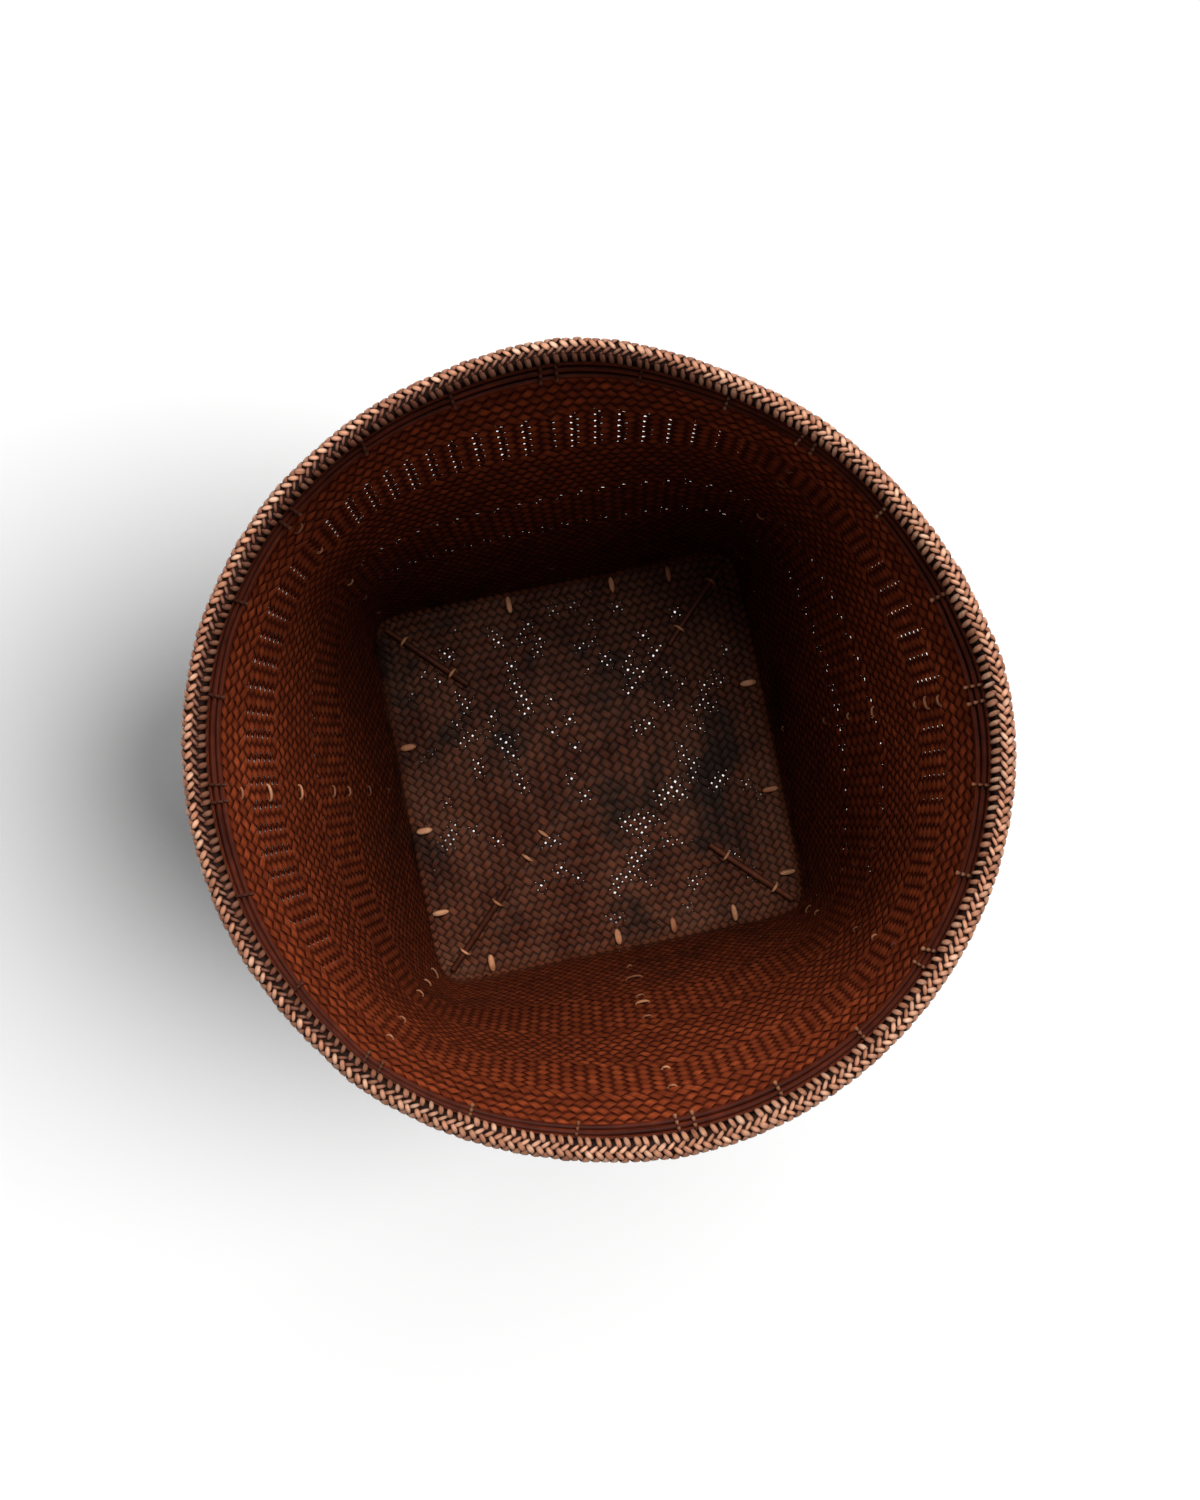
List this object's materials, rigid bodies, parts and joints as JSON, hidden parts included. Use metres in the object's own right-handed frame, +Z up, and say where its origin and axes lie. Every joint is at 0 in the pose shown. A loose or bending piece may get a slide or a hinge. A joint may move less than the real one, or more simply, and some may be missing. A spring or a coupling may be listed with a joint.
{
  "type": "bamboo basket",
  "caption": "Deep plaited basket with a square base that widens to a round mouth, braided rim, laced outside ribs and foot bars.",
  "frame": {"origin": "on the floor below the middle of the mouth, at the centre of the base of the bounding box", "axes": "+Z up through the mouth, the sides of the square base along X and Y, -Y the front"},
  "size_m": [0.3793, 0.3798, 0.3],
  "materials": {
    "plait": "smoked split bamboo, satin, darker towards the base",
    "braid": "split rattan, satin, tan orange",
    "hoop": "half-round cane, polished reddish brown",
    "frame": "split bamboo, satin, dark brown",
    "cord": "split rattan cord, light tan",
    "stick": "round bamboo stick, reddish brown"
  },
  "bodies": {
    "root": {"woven_body": "plait", "rim_strip_outer": "frame", "rim_strip_inner": "frame", "rim_braid": "braid", "inner_hoop_upper": "hoop", "inner_hoop_middle": "hoop", "inner_hoop_lower": "hoop", "outer_hoop": "hoop", "hoop_ties": "cord", "rib_right": "frame", "rib_back_right": "frame", "rib_back": "frame", "rib_back_left": "frame", "rib_left": "frame", "rib_front_left": "frame", "rib_front": "frame", "rib_front_right": "frame", "lacing_right": "cord", "lacing_back_right": "cord", "lacing_back": "cord", "lacing_back_left": "cord", "lacing_left": "cord", "lacing_front_left": "cord", "lacing_front": "cord", "lacing_front_right": "cord", "foot_bar_front": "frame", "foot_bar_right": "frame", "foot_bar_back": "frame", "foot_bar_left": "frame", "foot_lacing_front": "cord", "foot_lacing_right": "cord", "foot_lacing_back": "cord", "foot_lacing_left": "cord", "runner_front_left_to_back_right": "frame", "runner_front_right_to_back_left": "frame", "runner_lacing": "cord", "corner_stick_back_right": "stick", "corner_stick_back_left": "stick", "corner_stick_front_left": "stick", "corner_stick_front_right": "stick", "stick_lashing_back_right": "cord", "stick_lashing_back_left": "cord", "stick_lashing_front_left": "cord", "stick_lashing_front_right": "cord"}
  },
  "joints": []
}
